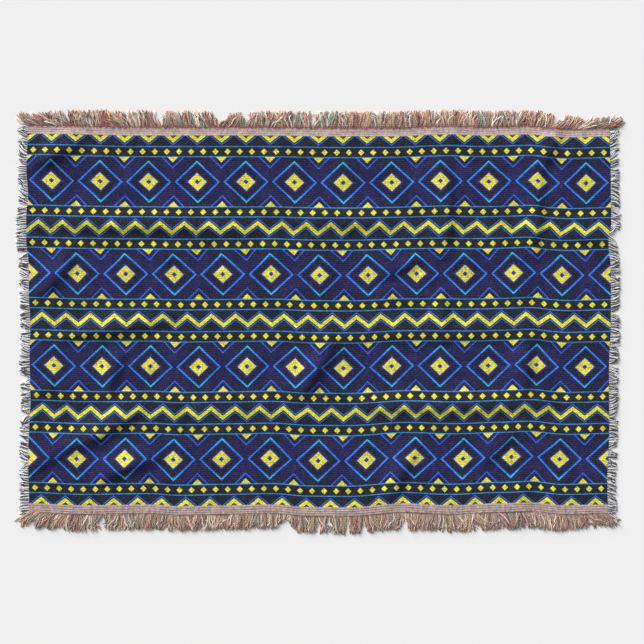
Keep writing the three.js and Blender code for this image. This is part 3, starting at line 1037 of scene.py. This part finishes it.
# How light the long fringe is at its roots and at its tips, as painted shade at the roots and painted
# light at the tips, the dark red that its roots take, partly red yarn and partly painted shade, and
# how much of it, and how far its colours keep to their mean.
Shading = namedtuple("Shading", "root_light tip_light root root_share mellow")
WARP_SHADING = (
    Shading(0.95, 1.35, tint(140, 56, 52), 0.7, 0.05),
    Shading(0.87, 1.05, tint(118, 86, 76), 0.4, 0.25),
)
# How far out the roots' painted shade and dark red go, as a share of a yarn.
WARP_ROOT = 0.28

TUCK = 2 * MM
WARP_STEPS = 12
WEFT_STEPS = 9
WARP_SCATTER = 1.6 * MM
# How far the side fringe runs in one colour before the other follows.
WEFT_BUNDLE = 2.8 * MM
# How much of the two colours' difference shows where the yarns leave the cloth, and how far
# out all of it does, as a share of a yarn.
ROOT_CONTRAST = 0.7
CLEAR_FROM = 0.55

# How unruly a fringe is, by tuft and by yarn, with its leans and bends in radians: how its
# yarns gather in tufts, curl and lie in layers, how high they rise at their roots and in their
# middles, how much thicker a layer makes the fringe there and at the tips, in yarns, and how
# thick a yarn is at its root and its tip, as shares of its middle.
Habit = namedtuple(
    "Habit",
    "tuft tuft_lean yarn_lean tuft_bend yarn_bend gather curl layers root_rise middle_rise "
    "middle_stack tip_stack root tip",
)
WARP_HABIT = Habit(
    tuft=12 * MM,
    tuft_lean=math.radians(14),
    yarn_lean=math.radians(11),
    tuft_bend=math.radians(26),
    yarn_bend=math.radians(24),
    gather=(0.0, 0.5),
    curl=(0.6 * MM, 2.2 * MM),
    layers=3,
    root_rise=(0.5 * MM, 1.5 * MM),
    middle_rise=1.2 * MM,
    middle_stack=1.6,
    tip_stack=0.7,
    root=0.9,
    tip=0.75,
)
WEFT_HABIT = Habit(
    tuft=15 * MM,
    tuft_lean=math.radians(20),
    yarn_lean=math.radians(7),
    tuft_bend=math.radians(15),
    yarn_bend=math.radians(16),
    gather=(0.0, 0.4),
    curl=(0.2 * MM, 0.8 * MM),
    layers=2,
    root_rise=(0.6 * MM, 1.4 * MM),
    middle_rise=0.8 * MM,
    middle_stack=1.4,
    tip_stack=1.0,
    root=0.8,
    tip=0.7,
)
STEEPEST_LEAN = math.radians(72)
CURLS_A_YARN = (0.9, 2.5)
YARN_SPREAD = (0.76, 1.15)
# How far a yarn curls up and down, as a share of how far it curls sideways, and what its phase
# is multiplied by for that, so that the two curls don't keep step.
BOB = 0.35
BOB_TURN = 1.7
# A yarn strays least at its root: the share of its stray there, what a whole length adds to
# that, and the most that it comes to. It bends about a place at a share of its length.
STRAY_AT_ROOT = 0.3
STRAY_GROWTH = 1.6
STRAY_MOST = 1.2
BEND_ABOUT = 0.4
# How far the middle of a tuft is shifted, as a share of its width.
TUFT_SHIFT = 0.3
# How light yarns of one colour are, how strongly each takes the painted shade and dark red of the
# roots, and how evenly the colours are spread over the tufts.
WARP_LIGHT = (0.8, 1.15)
WEFT_LIGHT = (0.85, 1.1)
ROOT_STRENGTH = (0.35, 1.3)
COLOUR_EVENNESS = 1.6


def drawn(rng, count, low, high):
    """Random numbers between two limits."""
    return rng.uniform(low, high, count)


def tufted(rng, places, width):
    """Each yarn's tuft, for yarns along an edge, and the middles of the tufts."""
    count = int(np.ptp(places) / width) + 2
    shift = drawn(rng, count, -TUFT_SHIFT, TUFT_SHIFT)
    middles = places.min() + (np.arange(count) + shift) * width
    return np.abs(places[:, None] - middles).argmin(1), middles


def notched(notches, along):
    """What notches leave of yarns along an edge: length, lean aside and unruliness."""
    share, push, stray = np.ones(len(along)), np.zeros(len(along)), np.ones(len(along))
    for notch in notches:
        off = along - notch.at
        share *= mix(notch.share, 1, smooth(np.clip(np.abs(off) / notch.half, 0, 1)))
        beside = 1 - smooth(np.clip((np.abs(off) - notch.half) / NOTCH_REACH, 0, 1))
        push += np.sign(off) * notch.push * beside
        stray *= 1 - NOTCH_CALM * beside
    return share, push, stray


def edge_places(fringe, along, out):
    """Places on the flat cloth, for places along a fringe's edge and how far out they lie."""
    out = np.full(len(along), out)
    return (along, out) if fringe.on_long_edge else (out, along)


def yarn_turns(rng, habit, along, length, lean, calm, share):
    """How far each yarn leans, at shares of its length.

    Yarns of one tuft lean, bend and gather together, and less so at their roots, where the
    cloth holds them.
    """
    count = len(along)
    tuft, middles = tufted(rng, along, habit.tuft)
    tufts = len(middles)
    swing = rng.normal(0, habit.tuft_lean, tufts)[tuft] + rng.normal(0, habit.yarn_lean, count)
    bend = rng.normal(0, habit.tuft_bend, tufts)[tuft] + rng.normal(0, habit.yarn_bend, count)
    gather = (middles[tuft] - along) * drawn(rng, tufts, *habit.gather)[tuft] / length
    held = np.minimum(STRAY_AT_ROOT + STRAY_GROWTH * share, STRAY_MOST)
    stray = ((swing + gather) * calm)[:, None] * held
    bent = (bend * calm)[:, None] * (share - BEND_ABOUT)
    return np.clip(lean[:, None] + stray + bent, -STEEPEST_LEAN, STEEPEST_LEAN)


def yarn_lines(rng, fringe, habit, along, radius, steps):
    """Points along each yarn of a fringe, from inside the cloth's edge out to its tip."""
    count = len(along)
    share = np.linspace(0, 1, steps)
    layer = rng.integers(0, habit.layers, count)
    kept, push, calm = notched(fringe.notches, along)
    reach = fringe.length * read_table(fringe.lay, "share", along) * kept
    length = reach * drawn(rng, count, *fringe.reach) + TUCK
    rest = lift(*edge_places(fringe, along, fringe.edge))
    root = rest + drawn(rng, count, *habit.root_rise)
    middle = rest + radius * (1 + habit.middle_stack * layer)
    middle = middle + drawn(rng, count, 0, habit.middle_rise)
    tip = radius * (1 + habit.tip_stack * layer)
    root, middle, tip = root[:, None], middle[:, None], tip[:, None]
    rise = root * (1 - share) ** 2 + 2 * middle * share * (1 - share) + tip * share**2
    lean = read_table(fringe.lay, "lean", along) + push
    turn = yarn_turns(rng, habit, along, length, lean, calm, share)
    pace = length[:, None] / (steps - 1)
    outward = np.cumsum(np.cos(turn) * pace, axis=1) - np.cos(turn) * pace
    sideways = np.cumsum(np.sin(turn) * pace, axis=1) - np.sin(turn) * pace
    phase = drawn(rng, count, 0, math.tau)[:, None]
    waves = drawn(rng, count, *CURLS_A_YARN)[:, None] * math.tau
    curl = drawn(rng, count, *habit.curl)[:, None]
    wander = curl * (np.sin(waves * share + phase) - np.sin(phase)) * np.sqrt(share)
    outward = (outward - np.sin(turn) * wander) * fringe.side
    sideways = sideways + np.cos(turn) * wander
    bob = BOB * curl * np.sin(waves * share + phase * BOB_TURN) * share
    root_x, root_y = on_floor(*edge_places(fringe, along, fringe.edge - fringe.side * TUCK))
    x, y = (sideways, outward) if fringe.on_long_edge else (outward, sideways)
    return np.stack((root_x[:, None] + x, root_y[:, None] + y, rise + bob), axis=2)


def laid_yarns(rng, fringe, habit, along, radius, steps):
    """The lines and thicknesses of a fringe's yarns, which lie on the floor and not in it."""
    lines = yarn_lines(rng, fringe, habit, along, radius, steps)
    form = np.interp(np.linspace(0, 1, steps), (0, 0.15, 0.85, 1), (habit.root, 1, 1, habit.tip))
    radii = drawn(rng, len(along), *YARN_SPREAD)[:, None] * radius * form
    lines[..., 2] = np.maximum(lines[..., 2], radii)
    return lines, radii


def warp_colours(rng, along, shading):
    """The colour along each warp yarn, with painted shade towards its root and painted light towards
    its tip. Each tuft has more of some colours than of others.
    """
    count = len(along)
    tuft, middles = tufted(rng, along, 1.5 * WARP_HABIT.tuft)
    shares = np.array([yarn.share for yarn in WARP_YARNS])
    palette = np.array([tint(yarn.red, yarn.green, yarn.blue) for yarn in WARP_YARNS])
    palette = mix(palette, shares @ palette / shares.sum(), shading.mellow)
    favour = (rng.gamma(COLOUR_EVENNESS, 1.0, (len(middles), len(shares))) * shares)[tuft]
    ladder = np.cumsum(favour, axis=1) / favour.sum(1, keepdims=True)
    kind = (drawn(rng, count, 0, 1)[:, None] > ladder[:, :-1]).sum(1)
    base = palette[kind] * drawn(rng, count, *WARP_LIGHT)[:, None]
    share = np.linspace(0, 1, WARP_STEPS)[None, :, None]
    # Painted shade towards the roots and painted light towards the tips.
    light = mix(shading.root_light, shading.tip_light, share)
    # The roots take a dark red, partly red yarn and partly painted shade.
    root_shade_and_red = smooth(np.clip(1 - share / WARP_ROOT, 0, 1)) * shading.root_share
    root_shade_and_red = root_shade_and_red * drawn(rng, count, *ROOT_STRENGTH)[:, None, None]
    return np.minimum(mix(base[:, None] * light, np.array(shading.root), root_shade_and_red), 1)


def warp_fringe(fringe, shading, sizes, finish):
    """The long fringe of one edge: tufts of mixed yarns, in layers."""
    rng = np.random.default_rng(fringe.seed)
    count = sizes.warp_count
    half = PANEL_WIDTH / 2
    along = np.linspace(-half, half, count) + drawn(rng, count, -WARP_SCATTER, WARP_SCATTER)
    along = np.clip(along, -half, half)
    radius = sizes.warp_yarn / 2
    lines, radii = laid_yarns(rng, fringe, WARP_HABIT, along, radius, WARP_STEPS)
    tints = warp_colours(rng, along, shading)
    return yarn_piece(fringe.name, lines, radii, tints, finish)


def weft_fringe(fringe, sizes, colours, finish):
    """The short fringe of one side: black and white yarns in turn, leaning in clusters."""
    rng = np.random.default_rng(fringe.seed)
    count = sizes.weft_count
    low, high = -PANEL_HEIGHT / 2 - BOTTOM_HEADING, PANEL_HEIGHT / 2 + TOP_HEADING
    along = np.linspace(low, high, count)
    radius = sizes.weft_yarn / 2
    lines, radii = laid_yarns(rng, fringe, WEFT_HABIT, along, radius, WEFT_STEPS)
    pair = np.array((colours.black_yarn, colours.white_yarn))
    bundle = np.floor(along / WEFT_BUNDLE).astype(int) % 2
    tints = (pair[bundle] * drawn(rng, count, *WEFT_LIGHT)[:, None])[:, None]
    share = np.linspace(0, 1, WEFT_STEPS)[None, :, None]
    clear = mix(ROOT_CONTRAST, 1, smooth(np.clip(share / CLEAR_FROM, 0, 1)))
    tints = np.clip(mix(pair.mean(0), tints, clear), 0, 1)
    return yarn_piece(fringe.name, lines, radii, tints, finish)


def plain_finish(name, colour, roughness):
    """One even finish for the stage."""
    material = bpy.data.materials.new(name)
    material.use_nodes = True
    shader = material.node_tree.nodes["Principled BSDF"]
    shader.inputs["Base Color"].default_value = (*colour, 1.0)
    shader.inputs["Roughness"].default_value = roughness
    shader.inputs["Specular IOR Level"].default_value = 0.0
    return material


def studio(stage):
    """Even light from all round, in front of a backdrop of the floor's own colour."""
    world = bpy.data.worlds.new("studio")
    world.use_nodes = True
    nodes, links = world.node_tree.nodes, world.node_tree.links
    light = nodes["Background"]
    light.inputs["Color"].default_value = (1, 1, 1, 1)
    light.inputs["Strength"].default_value = stage.ambient
    backdrop = nodes.new("ShaderNodeBackground")
    backdrop.inputs["Color"].default_value = (*stage.floor, 1.0)
    both = nodes.new("ShaderNodeMixShader")
    links.new(nodes.new("ShaderNodeLightPath").outputs["Is Camera Ray"], both.inputs[0])
    links.new(light.outputs[0], both.inputs[1])
    links.new(backdrop.outputs[0], both.inputs[2])
    links.new(both.outputs[0], nodes["World Output"].inputs["Surface"])
    return world


class ThrowOperator:
    """What every operator of the throw shares"""

    bl_options = {"REGISTER", "UNDO"}


class THROW_OT_warp_fringe(ThrowOperator, bpy.types.Operator):
    """Lay the long fringe of mixed yarns along the top and the bottom"""

    bl_idname = "throw.warp_fringe"
    bl_label = "Long fringe"

    def execute(self, context):
        finish = yarn_finish("warp_cotton")
        for fringe, shading in zip(WARP_FRINGES, WARP_SHADING):
            piece = warp_fringe(fringe, shading, context.scene.throw_sizes, finish)
            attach(piece, "root")
            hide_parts(fringe.node)
        return {"FINISHED"}


class THROW_OT_weft_fringe(ThrowOperator, bpy.types.Operator):
    """Lay the short black and white fringe along the two sides"""

    bl_idname = "throw.weft_fringe"
    bl_label = "Side fringe"

    def execute(self, context):
        sizes, colours = context.scene.throw_sizes, context.scene.throw_colours
        finish = yarn_finish("weft_cotton")
        for fringe in WEFT_FRINGES:
            piece = weft_fringe(fringe, sizes, colours, finish)
            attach(piece, "root")
            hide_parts(fringe.node)
        return {"FINISHED"}


class THROW_OT_headings(ThrowOperator, bpy.types.Operator):
    """Weave the plain strips that close the panel at the top and at the bottom"""

    bl_idname = "throw.headings"
    bl_label = "Heading strips"

    def execute(self, context):
        sizes, colours = context.scene.throw_sizes, context.scene.throw_colours
        reverse = reverse_finish("heading_reverse", colours.heading, sizes, colours)
        for heading, fringe in zip(HEADINGS, WARP_FRINGES):
            strip = laid_sheet(
                heading.name, PANEL_COLUMNS, HEADING_ROWS, -PANEL_WIDTH / 2, PANEL_WIDTH / 2,
                heading.low, heading.high, sizes.thickness,
                (heading_finish(heading, sizes, colours), reverse),
            )
            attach(strip, "root")
            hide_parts(heading.node)
            heading.high - heading.low
        return {"FINISHED"}


class THROW_OT_panel(ThrowOperator, bpy.types.Operator):
    """Weave the banded panel and lay it on its folds"""

    bl_idname = "throw.panel"
    bl_label = "Patterned panel"

    def execute(self, context):
        sizes, colours = context.scene.throw_sizes, context.scene.throw_colours
        reverse = reverse_finish("panel_reverse", colours.reverse, sizes, colours)
        panel = laid_sheet(
            "woven_panel", PANEL_COLUMNS, PANEL_ROWS, -PANEL_WIDTH / 2, PANEL_WIDTH / 2,
            -PANEL_HEIGHT / 2, PANEL_HEIGHT / 2, sizes.thickness,
            (panel_finish(sizes, colours), reverse),
        )
        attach(panel, "root")
        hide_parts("panel")
        return {"FINISHED"}


class THROW_OT_stage(ThrowOperator, bpy.types.Operator):
    """Set the pale floor, the soft light and the camera straight above"""

    bl_idname = "throw.stage"
    bl_label = "Floor, light and camera"

    def execute(self, context):
        stage = context.scene.throw_stage
        bpy.ops.object.select_all(action="DESELECT")
        bpy.ops.mesh.primitive_plane_add(size=FLOOR_SIZE, location=(0, 0, 0))
        floor = context.active_object
        floor.name = "floor"
        floor.data.materials.append(plain_finish("pale_floor", stage.floor, 1.0))

        context.scene.world = studio(stage)

        bpy.ops.object.light_add(type="SUN", location=(-1, 1, 2))
        sun = context.active_object
        sun.name = "main_light"
        sun.data.angle = stage.sun_spread
        sun.data.energy = (1 - stage.ambient) * math.pi / math.sin(stage.sun_height)
        sun.rotation_euler = (0, math.pi / 2 - stage.sun_height, stage.sun_from)

        across, up = PANEL_IN_PICTURE
        bpy.ops.object.camera_add(
            location=(SHIFT_X - across, SHIFT_Y - up, CAMERA_HEIGHT), rotation=(0, 0, 0)
        )
        camera = context.active_object
        camera.name = "camera"
        camera.data.sensor_width = SENSOR_WIDTH
        camera.data.lens = SENSOR_WIDTH * CAMERA_HEIGHT / PICTURE_WIDTH
        camera.data.clip_end = 2.5 * FLOOR_SIZE
        context.scene.camera = camera

        context.scene.view_settings.view_transform = "Standard"
        context.scene.view_settings.look = "None"
        return {"FINISHED"}


class THROW_PT_pieces(bpy.types.Panel):
    """The throw's pieces, sizes and colours"""

    bl_label = "Throw"
    bl_space_type = "VIEW_3D"
    bl_region_type = "UI"
    bl_category = "Throw"

    def draw(self, context):
        layout = self.layout
        for operator in OPERATORS:
            layout.operator(operator.bl_idname)
        scene = context.scene
        for group in (scene.throw_sizes, scene.throw_colours, scene.throw_stage):
            box = layout.box()
            for name in group.__annotations__:
                box.prop(group, name)


GROUPS = (ThrowSizes, ThrowColours, ThrowStage)
OPERATORS = (
    THROW_OT_stage,
    THROW_OT_warp_fringe,
    THROW_OT_weft_fringe,
    THROW_OT_headings,
    THROW_OT_panel,
)


def register():
    for each in (*GROUPS, *OPERATORS, THROW_PT_pieces):
        bpy.utils.register_class(each)
    bpy.types.Scene.throw_sizes = PointerProperty(type=ThrowSizes)
    bpy.types.Scene.throw_colours = PointerProperty(type=ThrowColours)
    bpy.types.Scene.throw_stage = PointerProperty(type=ThrowStage)


def unregister():
    del bpy.types.Scene.throw_stage
    del bpy.types.Scene.throw_colours
    del bpy.types.Scene.throw_sizes
    for each in reversed((*GROUPS, *OPERATORS, THROW_PT_pieces)):
        bpy.utils.unregister_class(each)


def main():
    register()
    bpy.ops.throw.stage()
    bpy.ops.throw.warp_fringe()
    bpy.ops.throw.weft_fringe()
    bpy.ops.throw.headings()
    bpy.ops.throw.panel()


if __name__ == "__main__":
    main()
